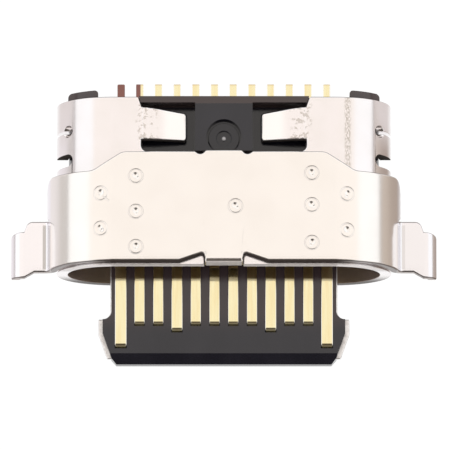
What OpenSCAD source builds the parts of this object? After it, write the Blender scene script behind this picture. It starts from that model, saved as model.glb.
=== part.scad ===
// Board-mounted charging port for a reversible plug, with a tongue that stands out of its mouth.
// A rolled inner shell, a wrapped bracket welded over it, a black moulding at the rear, and two
// wafers of contacts that meet on a plate in the middle of the tongue.
// X runs to the right, Y from the mouth to the rear and Z up. The origin is the middle of the
// mouth, in the plane of its rim and of the tongue's plate. Lengths along Y start at the rim.

/* [Inner shell] */
// Width of the tube outside
shell_w = 8.94; // [8.6:0.02:9.6]
// Height of the tube outside
shell_h = 3.16; // [3.0:0.02:3.5]
// Thickness of the tube's wall
shell_wall = 0.30; // [0.2:0.01:0.34]
// Length of the tube's upper half
shell_len = 4.55; // [4.4:0.05:5.4]
// Length of the tube's lower half, which ends at the board's edge
floor_len = 2.77; // [2.7:0.01:2.85]
// Width of the slot between the floor's end and the first side flap
side_slot = 0.33; // [0.2:0.01:0.4]
// Height at which the side slots start, above the middle plane
side_slot_top = 1.08; // [0.9:0.01:1.2]
// Diameter of the round relief between the two side flaps
relief_d = 0.32; // [0.2:0.01:0.4]
// Distance of that relief from the rear edge
relief_inset = 0.83; // [0.7:0.01:1.0]
// Width of the slit below the relief
slit_w = 0.08; // [0.04:0.01:0.2]

/* [Rear window] */
// Width between the roots of the lock tabs
window_w = 4.40; // [4.0:0.05:4.8]
// Length of the window, from the rear edge
window_len = 1.48; // [1.4:0.01:1.6]
// Length of the free slot in front of the lock tabs
window_slot = 0.33; // [0.25:0.01:0.4]
// How much wider the window opens at the rear edge, on each side
window_flare = 0.09; // [0.02:0.01:0.2]
// Length over which it opens
window_flare_len = 0.26; // [0.2:0.01:0.35]
// Length of a lock tab across the window
tab_reach = 1.22; // [0.9:0.01:1.35]
// How far a lock tab's tip is pressed down
tab_drop = 0.30; // [0.15:0.01:0.35]
// How much shorter a lock tab is at its tip, on its rear side
tab_taper = 0.14; // [0:0.01:0.2]
// Corner radius of a lock tab's tip
tab_r = 0.12; // [0.05:0.01:0.2]

/* [Bracket] */
// Thickness of the bracket's sheet
bracket_t = 0.25; // [0.15:0.01:0.3]
// Gap between the bracket and the tube
bracket_gap = 0.01; // [0.005:0.005:0.05]
// Front edge of the bracket
bracket_front = 0.02; // [0:0.01:0.1]
// Rear edge of the bracket in the middle
bracket_len = 3.02; // [2.95:0.01:3.05]
// Rear edge of the bracket at the shoulders
shoulder_len = 2.52; // [2.3:0.01:2.7]
// Half width of the long middle part
shoulder_start = 2.65; // [2.4:0.01:2.8]
// Half width at which the shoulders have stepped back
shoulder_end = 3.58; // [3.4:0.01:3.8]
// Half width of the lip at the middle of the rear edge
lip_half = 0.48; // [0.3:0.01:0.6]
// Length of that lip
lip_len = 0.03; // [0.01:0.01:0.05]
// Radius of the dents beside the lip
lip_dent_r = 0.15; // [0.1:0.01:0.2]
// Depth of the dents beside the lip
lip_dent = 0.07; // [0.03:0.01:0.1]
// Lower edge of the side skirt, from the middle plane
skirt_z = 0.12; // [0.1:0.01:0.3]
// Radius of the skirt's rear corner
skirt_r = 0.58; // [0.3:0.01:0.9]
// Half width of the centre tab that bends over the rim
hook_half = 0.50; // [0.4:0.01:0.6]
// Inner radius of its bend
hook_r = 0.03; // [0.02:0.01:0.06]
// Clearance between the centre tab and its notch in the rim
hook_clear = 0.02; // [0.01:0.01:0.05]
// Half width to which the notches beside the centre tab run out
notch_out = 1.18; // [1.0:0.01:1.3]
// Depth of those notches
notch_depth = 0.24; // [0.15:0.01:0.26]
// Radius at the deep end of those notches
notch_r = 0.10; // [0.05:0.01:0.11]

/* [Ears and legs] */
// Height of the board's top face above the middle plane
board_z = 0.08; // [0:0.01:0.12]
// Length of an ear along the board
ear_len = 1.37; // [1.2:0.01:1.5]
// How far an ear's front edge runs forward to its leg
ear_flare = 0.15; // [0.05:0.01:0.2]
// Radius in the corner between ear and side wall
ear_bend_r = 0.12; // [0.08:0.01:0.2]
// Gap between the ear and the skirt behind it
ear_gap = 0.06; // [0.03:0.01:0.1]
// Width over both legs
leg_span = 11.36; // [11.2:0.02:12]
// Width of a leg along the board
leg_len = 0.99; // [0.8:0.01:1.1]
// How much wider the ear is where its bend to the leg starts
leg_lean = 0.11; // [0.05:0.01:0.2]
// Distance over which the ear narrows to the leg
leg_taper = 0.10; // [0.05:0.01:0.15]
// Inner radius of the bend from ear to leg
leg_bend_r = 0.10; // [0.05:0.01:0.14]
// Lower end of the legs, from the board's top face
leg_drop = 0.89; // [0.7:0.01:1.4]
// Radius of the corners at the end of a leg
leg_corner = 0.12; // [0.05:0.01:0.25]

/* [Welds] */
// Distance of the inner weld columns from the middle
weld_inner_x = 2.34; // [2.1:0.01:2.6]
// Distance of the outer weld columns from the middle
weld_outer_x = 3.28; // [3.1:0.01:3.5]
// Rows of the left inner column
weld_left_inner = [0.44, 1.39, 2.35]; // [0.3:0.01:2.5]
// Rows of the right inner column
weld_right_inner = [0.55, 1.57, 2.43]; // [0.3:0.01:2.5]
// Rows of the left outer column
weld_left_outer = [0.94, 1.89]; // [0.3:0.01:2.2]
// Rows of the right outer column
weld_right_outer = [0.89, 1.87]; // [0.3:0.01:2.2]
// Place of the single weld near the middle
weld_middle = [0.31, 1.54]; // [0.2:0.01:2.5]
// Diameter of a weld's ring
weld_d = 0.34; // [0.2:0.01:0.45]
// Depth of a weld's ring
weld_depth = 0.02; // [0.01:0.005:0.05]
// Diameter of the pit in the middle of a weld
pit_d = 0.14; // [0.08:0.01:0.2]
// Depth of that pit
pit_depth = 0.04; // [0.02:0.01:0.08]

/* [Rear housing] */
// Depth of the mouth, from the rim to the housing's front wall
mouth_depth = 1.80; // [1.6:0.01:1.9]
// Clearance between the housing and the metal round it
housing_clear = 0.02; // [0.01:0.01:0.05]
// How far the housing's rear face stands out of the tube
rear_out = 0.02; // [0:0.01:0.1]
// Height of the raised parts below the tube's top
crown_drop = 0.04; // [0.02:0.01:0.15]
// Half width of the raised centre block
block_half = 0.765; // [0.6:0.005:0.9]
// Thickness of the bar behind the tab pockets
bar_t = 0.17; // [0.1:0.01:0.2]
// Clearance under and beside the lock tabs
tab_clear = 0.03; // [0.02:0.01:0.1]
// Inner edge of the side feet and of the rear corner posts
post_inner = 3.35; // [3.2:0.01:3.6]
// How far the posts stand out behind the housing
post_out = 0.18; // [0.1:0.01:0.3]
// How far the posts reach out over the tube's edge
post_over = 0.24; // [0.1:0.01:0.28]
// Height from which they do so, above the middle plane
post_low = 0.80; // [0.6:0.01:0.9]
// Corner radius of the posts
post_r = 0.10; // [0.05:0.01:0.17]
// Diameter of the gate recess in the centre block
gate_d = 0.906; // [0.6:0.002:1.0]
// Distance of the gate recess from the front of the window
gate_inset = 0.41; // [0.3:0.01:0.6]
// Depth of the groove round the gate boss
gate_depth = 0.20; // [0.1:0.01:0.25]
// Width of that groove
gate_groove = 0.05; // [0.03:0.01:0.1]
// Depth of the boss's top below the centre block
boss_drop = 0.08; // [0.03:0.01:0.09]
// Diameter of the hole in the boss
gate_hole_d = 0.39; // [0.2:0.01:0.5]
// Height of the small cone left in that hole
gate_stub = 0.06; // [0.02:0.01:0.1]

/* [Tongue] */
// How far the tongue stands out in front of the rim
tongue_out = 2.45; // [2.4:0.01:3.0]
// Thickness of the moulded tongue
tongue_t = 0.66; // [0.62:0.01:0.8]
// Half width of the tongue's neck
neck_half = 3.00; // [2.96:0.01:3.05]
// Half width of the moulding at the latch shoulders
shoulder_half = 3.235; // [3.1:0.005:3.3]
// Radius of the corners where the neck widens
neck_r = 0.22; // [0.1:0.01:0.3]
// Where the full width starts, in front of the rim
wide_start = 1.25; // [1.15:0.01:1.4]
// Where the full width ends
wide_end = 1.63; // [1.5:0.01:1.8]
// Half width of the nose where its corners start
nose_half = 3.00; // [2.95:0.01:3.05]
// Length of the nose's corner bevels along the tongue
nose_corner = 0.16; // [0.1:0.01:0.2]
// Depth of the nose's corner bevels across the tongue
nose_corner_w = 0.13; // [0.05:0.01:0.2]
// Length of the sloped faces at the nose
nose_bevel = 0.27; // [0.15:0.01:0.3]
// Height of the blunt front of the nose
nose_blunt = 0.30; // [0.1:0.01:0.4]
// Thickness of the plate in the middle of the tongue
plate_t = 0.15; // [0.1:0.01:0.2]
// How far the plate's edges stand out of the moulding
plate_edge = 0.115; // [0.03:0.005:0.2]
// How far the plate's edges stand out at the neck
plate_neck_edge = 0.03; // [0.01:0.01:0.1]
// Distance of the plate's front edge from the nose
plate_inset = 0.16; // [0.1:0.01:0.2]
// How far the plate reaches behind the housing's front wall
plate_root = 0.15; // [0.1:0.01:0.18]

/* [Wafers] */
// Half width of the wafers inside the housing
root_half = 3.20; // [3.1:0.01:3.4]
// Height of the wafers inside the housing, from the middle plane
root_h = 0.80; // [0.75:0.01:0.95]
// Clearance between the upper contacts' rise and the lower wafer
root_gap = 0.03; // [0.02:0.01:0.06]
// How far the upper wafer reaches behind the floor's end
root_over = 0.13; // [0.05:0.01:0.2]

/* [Contacts] */
// Distance between contacts
pitch = 0.50; // [0.48:0.01:0.52]
// Thickness of a contact
contact_t = 0.15; // [0.1:0.01:0.16]
// How far the contacts stand out of the tongue's faces
contact_proud = 0.02; // [0.01:0.01:0.03]
// Width of the outermost contacts
ground_w = 0.32; // [0.2:0.01:0.36]
// Width of the supply contacts
supply_w = 0.30; // [0.2:0.01:0.36]
// Width of the other contacts
signal_w = 0.275; // [0.2:0.005:0.36]
// Tips of the outermost contacts, in front of the rim
ground_tip = 2.04; // [1.9:0.01:2.1]
// Tips of the supply contacts
supply_tip = 1.61; // [1.5:0.01:1.9]
// Tips of the other contacts
signal_tip = 1.435; // [1.3:0.005:1.6]
// Length of the sloped end of a contact
tip_slope = 0.10; // [0.05:0.01:0.2]
// Depth of the slope at the very end
tip_fall = 0.08; // [0.03:0.01:0.09]
// Height of the upper contacts' run through the housing
run_z = 0.50; // [0.45:0.01:0.6]
// Length of the upper contacts' rise to that run
rise_len = 0.30; // [0.2:0.01:0.4]
// Width of the tails
tail_w = 0.20; // [0.15:0.01:0.3]
// How far the upper tails stand out behind the tube
tail_out = 0.60; // [0.4:0.01:1.0]
// Length of the drop from the run to the tails
drop_len = 0.30; // [0.25:0.01:0.4]
// How far the lower tails reach behind the floor's end
lower_tail = 0.78; // [0.5:0.01:0.85]
// Gap between the tails and the housing's underside
tail_gap = 0.09; // [0.05:0.01:0.12]

/* [Hidden] */
$fn = 64;
contact_count = 12;
steel = [0.90, 0.87, 0.84];
steel_light = [0.95, 0.92, 0.88];
black = [0.16, 0.16, 0.17];
gold = [0.93, 0.82, 0.55];
over = 1;

end_r = shell_h / 2;
end_x = shell_w / 2 - end_r;
cavity_r = end_r - shell_wall;
wrap_in = end_r + bracket_gap;
wrap_out = wrap_in + bracket_t;
ear_top = board_z + bracket_t;
ear_rear = bracket_front + ear_len;
ear_angle = asin((ear_top + ear_bend_r) / (wrap_out + ear_bend_r));
ear_bend_x = end_x + (wrap_out + ear_bend_r) * cos(ear_angle);
skirt_angle = asin(skirt_z / wrap_out);
leg_out_r = leg_bend_r + bracket_t;
leg_bend_x = leg_span / 2 - leg_out_r;
leg_end = board_z - leg_drop;
hook_out_r = hook_r + bracket_t;
hook_y = bracket_front + hook_out_r;

flap_z = board_z + housing_clear;
window_y = shell_len - window_len;
tab_y = window_y + window_slot;
tab_end_y = shell_len - window_flare_len;
relief_y = shell_len - relief_inset;

housing_r = cavity_r - housing_clear;
housing_rear = shell_len + rear_out;
housing_step = floor_len - housing_clear;
post_end = housing_rear + post_out;
crown_z = end_r - crown_drop;
pocket_z = cavity_r - tab_drop - tab_clear;
pocket_end = housing_rear - bar_t;
crown_front = window_y + housing_clear;
gate_y = window_y + gate_inset;
tail_top = board_z + contact_t;
underside_z = tail_top + tail_gap;

tongue_z = tongue_t / 2;
plate_z = plate_t / 2;
blade_top = tongue_z + contact_proud;
blade_low = blade_top - contact_t;
plate_end = mouth_depth + plate_root;
upper_root_end = floor_len + root_over;
rise_y = mouth_depth + contact_t / 3;
step_y = rise_y + rise_len * (underside_z - blade_low) / (run_z - blade_low) + root_gap;
tail_end = shell_len + tail_out;
drop_end = housing_rear - contact_t;

function place_from_end(i) = min(i, contact_count + 1 - i);
function is_ground(i) = place_from_end(i) == 1;
function is_supply(i) = place_from_end(i) == contact_count / 3;
function contact_x(i) = (i - (contact_count + 1) / 2) * pitch;
function contact_w(i) = is_ground(i) ? ground_w : is_supply(i) ? supply_w : signal_w;
function contact_tip(i) = -(is_ground(i) ? ground_tip : is_supply(i) ? supply_tip : signal_tip);
function upper_name(i) = str("upper_contact_", i);
function lower_name(i) = str("lower_contact_", i);

// A profile in X and Z, swept from y0 to y1
module along_y(y0, y1) {
    translate([0, y1, 0]) rotate([90, 0, 0]) linear_extrude(y1 - y0) children();
}

// A profile in Y and Z, swept from x0 to x1
module along_x(x0, x1) {
    translate([x0, 0, 0]) rotate([90, 0, 90]) linear_extrude(x1 - x0) children();
}

// An outline in X and Y, raised from z0 to z1
module raised(z0, z1) {
    translate([0, 0, z0]) linear_extrude(z1 - z0) children();
}

// A box between two corners
module block(low, high) {
    translate(low) cube(high - low);
}

module both_sides() {
    children();
    mirror([1, 0, 0]) children();
}

// A slot outline with round ends of radius r round the middles x = -half and x = half
module stadium(half, r) {
    translate([-half, -r]) square([2 * half, 2 * r]);
    for (x = [-half, half]) translate([x, 0]) circle(r);
}

// A bent strip's section, between two radii and two directions less than 180 degrees apart
module bend(r_in, r_out, from, to) {
    reach = 2 * r_out;
    middle = (from + to) / 2;
    intersection() {
        difference() {
            circle(r_out);
            circle(r_in);
        }
        polygon([[0, 0], for (a = [from, middle, to]) reach * [cos(a), sin(a)]]);
    }
}

// What lies outside a round corner in the quarter x > 0, y > 0
module corner_waste(r) {
    difference() {
        square(r + over);
        circle(r);
    }
}

// The tube with its window, lock tabs and side slots
module shell_section() {
    difference() {
        stadium(end_x, end_r);
        stadium(end_x, cavity_r);
    }
}

module window_outline() {
    half = window_w / 2;
    slot_r = window_slot / 2;
    translate([0, window_y + slot_r]) stadium(half - slot_r, slot_r);
    polygon([
        [-half, tab_y - slot_r], [half, tab_y - slot_r], [half, tab_end_y],
        [half + window_flare, shell_len], [half + window_flare, shell_len + over],
        [-half - window_flare, shell_len + over], [-half - window_flare, shell_len], [-half, tab_end_y]]);
}

module lock_tab() {
    root = window_w / 2;
    tip = root - tab_reach;
    intersection() {
        along_y(tab_y, tab_end_y)
            polygon([
                [root + shell_wall, end_r], [root, end_r], [tip, end_r - tab_drop],
                [tip, cavity_r - tab_drop], [root, cavity_r], [root + shell_wall, cavity_r]]);
        raised(0, shell_h) difference() {
            polygon([
                [root + shell_wall, tab_y], [tip, tab_y], [tip, tab_end_y - tab_taper],
                [root, tab_end_y], [root + shell_wall, tab_end_y]]);
            translate([tip + tab_r, tab_y + tab_r]) rotate(180) corner_waste(tab_r);
            translate([tip + tab_r, tab_end_y - tab_taper - tab_r]) rotate(90) corner_waste(tab_r);
        }
    }
}

module side_slots() {
    half_slot = side_slot / 2;
    along_x(end_x, shell_w) {
        translate([floor_len + half_slot, side_slot_top - half_slot]) circle(half_slot);
        translate([floor_len, 0]) square([side_slot, side_slot_top - half_slot]);
        translate([relief_y, side_slot_top - relief_d / 2]) circle(d = relief_d);
        translate([relief_y - slit_w / 2, 0]) square([slit_w, side_slot_top - relief_d / 2]);
    }
}

module inner_shell() {
    color(steel_light) union() {
        difference() {
            along_y(0, shell_len) shell_section();
            block([-shell_w, floor_len, -shell_h], [shell_w, shell_len + over, flap_z]);
            raised(0, shell_h) window_outline();
            block([-hook_half - hook_clear, -over, 0],
                [hook_half + hook_clear, bracket_front + bracket_t + hook_clear, shell_h]);
            both_sides() side_slots();
        }
        both_sides() lock_tab();
    }
}

// The sheet wrapped over the tube
module wrap_section(low_angle) {
    reach = 2 * shell_w;
    difference() {
        stadium(end_x, wrap_out);
        stadium(end_x, wrap_in);
        both_sides()
            polygon([
                [0, 0], [end_x, 0], [end_x + reach * cos(low_angle), reach * sin(low_angle)],
                [end_x + reach, -reach], [0, -reach]]);
    }
}

// One shoulder of the rear edge, two equal arcs that step back from the middle part
module shoulder_outline() {
    across = (shoulder_end - shoulder_start) / 2;
    back = (bracket_len - shoulder_len) / 2;
    r = (across * across + back * back) / (2 * back);
    intersection() {
        translate([shoulder_start, bracket_len - r]) circle(r);
        translate([shoulder_start, shoulder_len]) square([across, 2 * back]);
    }
    difference() {
        translate([shoulder_start + across, shoulder_len - back]) square([across, 2 * back]);
        translate([shoulder_end, shoulder_len + r]) circle(r);
    }
}

// One notch beside the centre tab, a slope that runs into a round end
module notch_outline() {
    start = [notch_out, bracket_front];
    centre = [hook_half + notch_r, bracket_front + notch_depth - notch_r];
    to_centre = centre - start;
    reach = sqrt(to_centre * to_centre - notch_r * notch_r);
    slope = atan2(to_centre.y, to_centre.x) - asin(notch_r / norm(to_centre));
    touch = start + reach * [cos(slope), sin(slope)];
    translate(centre) circle(notch_r);
    polygon([
        start, touch, centre, [hook_half, centre.y],
        [hook_half, bracket_front - over], [notch_out, bracket_front - over]]);
}

module bracket_outline() {
    half = end_x + wrap_out + over;
    difference() {
        union() {
            translate([-half, bracket_front]) square([2 * half, shoulder_len - bracket_front]);
            translate([-shoulder_start, bracket_front])
                square([2 * shoulder_start, bracket_len - bracket_front]);
            translate([-lip_half, bracket_front])
                square([2 * lip_half, bracket_len + lip_len - bracket_front]);
            both_sides() shoulder_outline();
        }
        both_sides() notch_outline();
        both_sides()
            translate([lip_half + lip_dent_r, bracket_len + lip_dent_r - lip_dent]) circle(lip_dent_r);
        translate([-hook_half, bracket_front - over]) square([2 * hook_half, hook_y - bracket_front + over]);
    }
}

// The centre tab, bent down into the rim's notch
module hook() {
    drop = wrap_in - hook_r - cavity_r;
    along_x(-hook_half, hook_half) translate([hook_y, wrap_in - hook_r]) {
        bend(hook_r, hook_out_r, 90, 180);
        translate([0, hook_r]) square([notch_r, bracket_t]);
        translate([-hook_out_r, -drop]) square([bracket_t, drop]);
    }
}

// The ear's sheet in X and Z: a bend out of the wall, a flat and a bend down into the leg
module ear_section() {
    flat = 0.6 * (leg_bend_x - ear_bend_x);
    leg_h = ear_top - leg_out_r - leg_end;
    translate([ear_bend_x, ear_top + ear_bend_r]) {
        bend(ear_bend_r, ear_bend_r + bracket_t, 180 + ear_angle, 270);
        translate([0, -ear_bend_r - bracket_t]) square([flat, bracket_t]);
    }
    translate([leg_bend_x, ear_top - leg_out_r]) {
        bend(leg_bend_r, leg_out_r, 0, 90);
        translate([-flat, leg_bend_r]) square([flat, bracket_t]);
        translate([leg_bend_r, -leg_h]) square([bracket_t, leg_h]);
    }
}

module ear() {
    leg_rear = bracket_front + leg_len;
    bend_rear = leg_rear + leg_lean;
    leg_front = bracket_front - ear_flare;
    difference() {
        along_y(leg_front, ear_rear) ear_section();
        raised(-shell_h, shell_h) {
            polygon([
                [end_x, leg_front - over], [leg_bend_x, leg_front - over], [leg_bend_x, leg_front],
                [(ear_bend_x + leg_bend_x) / 2, bracket_front], [end_x, bracket_front]]);
            polygon([
                [leg_bend_x - leg_taper, ear_rear], [leg_bend_x, bend_rear], [leg_span, bend_rear],
                [leg_span, ear_rear + over], [leg_bend_x - leg_taper, ear_rear + over]]);
        }
        along_x(leg_bend_x, leg_span) {
            polygon([
                [leg_front - over, board_z], [leg_front, board_z], [bracket_front, leg_end + leg_corner],
                [bracket_front, leg_end - over], [leg_front - over, leg_end - over]]);
            polygon([
                [bend_rear, ear_top], [leg_rear, ear_top - leg_out_r], [leg_rear, leg_end - over],
                [ear_rear + over, leg_end - over], [ear_rear + over, ear_top]]);
            translate([leg_rear - leg_corner, leg_end + leg_corner]) rotate(-90) corner_waste(leg_corner);
            translate([bracket_front + leg_corner, leg_end + leg_corner])
                rotate(180) corner_waste(leg_corner);
        }
    }
}

// A weld's ring and pit, at the origin of a face that looks up
module weld_mark() {
    groove_r = 2 * weld_depth;
    pit_r = (pit_d * pit_d / 4 + pit_depth * pit_depth) / (2 * pit_depth);
    rotate_extrude() translate([weld_d / 2 - weld_depth, groove_r - weld_depth]) circle(groove_r);
    translate([0, 0, pit_r - pit_depth]) sphere(pit_r);
}

// Moves a mark from the origin to the bracket's outer face
module on_bracket(x, y) {
    past = max(abs(x) - end_x, 0);
    translate([x - sign(x) * past, y, 0])
        rotate([0, sign(x) * asin(past / wrap_out), 0])
            translate([0, 0, wrap_out]) children();
}

module welds() {
    for (y = weld_left_inner) on_bracket(-weld_inner_x, y) weld_mark();
    for (y = weld_right_inner) on_bracket(weld_inner_x, y) weld_mark();
    for (y = weld_left_outer) on_bracket(-weld_outer_x, y) weld_mark();
    for (y = weld_right_outer) on_bracket(weld_outer_x, y) weld_mark();
    on_bracket(weld_middle.x, weld_middle.y) weld_mark();
}

module mounting_bracket() {
    color(steel) difference() {
        union() {
            intersection() {
                union() {
                    along_y(bracket_front, bracket_len + lip_len) wrap_section(ear_angle);
                    along_y(ear_rear + ear_gap, bracket_len + lip_len) wrap_section(skirt_angle);
                }
                raised(-shell_h, shell_h) bracket_outline();
            }
            hook();
            both_sides() ear();
        }
        along_x(-shell_w, shell_w)
            translate([shoulder_len - skirt_r, skirt_z + skirt_r]) rotate(-90) corner_waste(skirt_r);
        welds();
    }
}

// The rear moulding, which the contacts and wafers pass through
module gate_recess() {
    boss_z = crown_z - boss_drop;
    hole_floor = crown_z - gate_depth;
    translate([0, gate_y, 0]) difference() {
        translate([0, 0, hole_floor]) cylinder(h = gate_depth + over, d = gate_d);
        difference() {
            cylinder(h = boss_z, d = gate_d - 2 * gate_groove);
            translate([0, 0, hole_floor]) cylinder(h = over, d = gate_hole_d);
        }
        translate([0, 0, hole_floor]) cylinder(h = gate_stub, d1 = gate_hole_d / 2, d2 = gate_stub / 2);
    }
}

// The moulding's body, with feet between the tube's flaps and rear corners that stand out as posts
module housing_body() {
    corner = min(post_r, post_out);
    post_edge = end_x + sqrt(pow(housing_r + post_over, 2) - pow(post_low, 2));
    difference() {
        union() {
            along_y(mouth_depth, post_end - post_out / 2) stadium(end_x, housing_r);
            difference() {
                along_y(housing_rear, post_end) stadium(end_x, housing_r + post_over);
                block([-shell_w, 0, -shell_h], [shell_w, post_end + over, post_low]);
            }
        }
        block([-shell_w, housing_step, -shell_h], [shell_w, post_end + over, flap_z]);
        block([-post_inner, housing_step, 0], [post_inner, post_end + over, underside_z]);
        block([-post_inner, housing_rear, 0], [post_inner, post_end + over, shell_h]);
        both_sides() {
            raised(0, shell_h) translate([post_inner + corner, post_end - corner])
                rotate(90) corner_waste(corner);
            raised(0, shell_h) translate([post_edge - corner, post_end - corner]) corner_waste(corner);
        }
    }
}

module crown() {
    half = window_w / 2 - housing_clear;
    flare = window_flare * (shell_len - pocket_end) / window_flare_len;
    raised(pocket_z - tab_clear, crown_z) {
        translate([-block_half, crown_front]) square([2 * block_half, housing_rear - crown_front]);
        polygon([
            [-half - window_flare + flare, pocket_end], [half + window_flare - flare, pocket_end],
            [half + window_flare, shell_len], [half + window_flare, housing_rear],
            [-half - window_flare, housing_rear], [-half - window_flare, shell_len]]);
    }
}

module rear_housing() {
    half = window_w / 2 - housing_clear;
    color(black) difference() {
        union() {
            difference() {
                housing_body();
                block([-half, crown_front, pocket_z], [half, housing_rear + over, shell_h]);
            }
            crown();
        }
        gate_recess();
        block([-root_half, mouth_depth, -root_h], [root_half, housing_step, root_h]);
        upper_root();
        for (i = [1:contact_count]) upper_strip(i);
    }
}

// The tongue seen from above, from its rear end to its nose; the plate's edges stand out of it
module tongue_outline(nose_y, edge = 0, neck_edge = 0, tip = []) {
    sides = [
        [shoulder_half + edge, plate_end], [shoulder_half + edge, -wide_end], [nose_half + edge, nose_y]];
    right = concat(sides, tip);
    left = [for (i = [len(right) - 1:-1:0]) [-right[i].x, right[i].y]];
    corner = min(neck_r, shoulder_half - neck_half);
    difference() {
        polygon(concat(right, left));
        both_sides() translate([neck_half + neck_edge, neck_edge - wide_start]) difference() {
            square([shoulder_half, wide_start + plate_end]);
            translate([corner, corner]) rotate(180) corner_waste(corner);
        }
    }
}

// The wafers, a tongue half and a root each
module upper_root() {
    block([-root_half, mouth_depth, plate_z], [root_half, step_y, root_h]);
    block([-root_half, step_y, underside_z], [root_half, upper_root_end, root_h]);
}

module lower_root() {
    block([-root_half, mouth_depth, -root_h], [root_half, step_y, -plate_z]);
    block([-root_half, step_y, -root_h], [root_half, housing_step, underside_z]);
}

module tongue_half() {
    difference() {
        raised(0, tongue_z)
            tongue_outline(nose_corner - tongue_out, tip = [[nose_half - nose_corner_w, -tongue_out]]);
        block([-shell_w, plate_inset - tongue_out, -over], [shell_w, plate_end + over, plate_z]);
        along_x(-shell_w, shell_w)
            polygon([
                [-tongue_out, nose_blunt / 2], [nose_bevel - tongue_out, tongue_z],
                [nose_bevel - tongue_out, tongue_z + over], [-tongue_out - over, tongue_z + over],
                [-tongue_out - over, nose_blunt / 2]]);
    }
}

module upper_wafer() {
    color(black) difference() {
        union() {
            tongue_half();
            upper_root();
        }
        for (i = [1:contact_count]) upper_strip(i, false);
    }
}

module lower_wafer() {
    color(black) difference() {
        union() {
            mirror([0, 0, 1]) tongue_half();
            lower_root();
        }
        for (i = [1:contact_count]) lower_strip(i, false);
    }
}

module mid_plate() {
    color(steel) raised(-plate_z, plate_z)
        tongue_outline(plate_inset - tongue_out, plate_edge, plate_neck_edge);
}

// The contacts, bent strips seen from the side; the tip is square in the slot that it lies in
module blade_tip(tip, sloped) {
    polygon(sloped ? [
        [tip, blade_low], [tip, blade_top - tip_fall], [tip + tip_slope, blade_top], [mouth_depth, blade_top],
        [mouth_depth, blade_low]] : [
        [tip, blade_low], [tip, blade_top], [mouth_depth, blade_top], [mouth_depth, blade_low]]);
}

module upper_strip(i, sloped = true) {
    x = contact_x(i);
    w = contact_w(i);
    rise_end = rise_y + rise_len;
    along_x(x - w / 2, x + w / 2) {
        blade_tip(contact_tip(i), sloped);
        polygon([
            [mouth_depth, blade_low], [mouth_depth, blade_top], [rise_y, blade_top],
            [rise_end, run_z + contact_t], [rise_end, run_z], [rise_y, blade_low]]);
    }
    along_x(x - tail_w / 2, x + tail_w / 2)
        polygon([
            [rise_end, run_z], [rise_end, run_z + contact_t], [drop_end - drop_len, run_z + contact_t],
            [drop_end, tail_top], [tail_end, tail_top], [tail_end, board_z],
            [drop_end - contact_t / 2, board_z], [drop_end - drop_len - contact_t / 2, run_z]]);
}

module lower_strip(i, sloped = true) {
    x = contact_x(i);
    w = contact_w(i);
    climb_end = housing_step - 2 * contact_t;
    along_x(x - w / 2, x + w / 2)
        mirror([0, 1]) blade_tip(contact_tip(i), sloped);
    along_x(x - tail_w / 2, x + tail_w / 2)
        polygon([
            [mouth_depth, -blade_low], [step_y + contact_t / 2, -blade_low], [climb_end, tail_top],
            [floor_len + lower_tail, tail_top], [floor_len + lower_tail, board_z],
            [climb_end + contact_t / 2, board_z], [step_y + contact_t, -blade_top],
            [mouth_depth, -blade_top]]);
}

inner_shell();
mounting_bracket();
rear_housing();
upper_wafer();
lower_wafer();
mid_plate();
for (i = [1:contact_count]) {
    color(gold) upper_strip(i);
    color(gold) lower_strip(i);
}
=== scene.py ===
from math import acos, asin, atan2, cos, degrees, pi, radians, sin

import bmesh
import bpy
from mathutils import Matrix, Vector


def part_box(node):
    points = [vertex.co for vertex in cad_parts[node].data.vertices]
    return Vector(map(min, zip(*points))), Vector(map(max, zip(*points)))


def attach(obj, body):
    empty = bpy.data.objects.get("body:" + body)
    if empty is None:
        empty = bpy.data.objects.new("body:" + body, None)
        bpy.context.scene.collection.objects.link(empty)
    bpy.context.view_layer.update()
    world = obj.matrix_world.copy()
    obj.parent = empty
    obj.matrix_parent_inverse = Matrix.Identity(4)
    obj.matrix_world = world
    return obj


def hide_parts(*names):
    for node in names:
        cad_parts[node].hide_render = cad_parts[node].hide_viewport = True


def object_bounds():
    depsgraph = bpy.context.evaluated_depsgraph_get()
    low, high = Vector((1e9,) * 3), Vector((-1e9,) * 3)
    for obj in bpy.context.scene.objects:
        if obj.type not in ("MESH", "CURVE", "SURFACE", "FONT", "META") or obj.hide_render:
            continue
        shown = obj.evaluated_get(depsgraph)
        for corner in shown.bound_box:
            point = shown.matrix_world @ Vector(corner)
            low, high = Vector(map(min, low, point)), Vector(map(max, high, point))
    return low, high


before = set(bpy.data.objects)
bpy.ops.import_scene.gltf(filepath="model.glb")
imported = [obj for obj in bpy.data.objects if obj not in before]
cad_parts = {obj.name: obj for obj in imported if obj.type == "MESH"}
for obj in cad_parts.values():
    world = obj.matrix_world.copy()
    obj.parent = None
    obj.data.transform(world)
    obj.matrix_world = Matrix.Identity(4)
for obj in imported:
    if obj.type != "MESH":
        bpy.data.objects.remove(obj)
cad_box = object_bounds()

# Camera
# The port lies on its flat underside and is seen from in front of its mouth, almost straight down.
# A long lens stands in for the close-up lens of a product picture, which shows hardly any perspective.
look_at = Vector((0.00003, 0.00136, 0))
view_elevation = radians(79.5)
view_width = 0.01203
camera_distance = 0.30
sensor_width = 36
camera_back = Vector((0, -cos(view_elevation), sin(view_elevation)))
bpy.ops.object.camera_add(
    location=look_at + camera_distance * camera_back, rotation=(pi / 2 - view_elevation, 0, 0))
camera = bpy.context.object
camera.data.sensor_width = sensor_width
camera.data.lens = sensor_width * camera_distance / view_width
camera.data.clip_start = 0.01
camera.data.clip_end = 2
bpy.context.scene.camera = camera
bpy.context.scene.view_settings.view_transform = "Standard"


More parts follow.
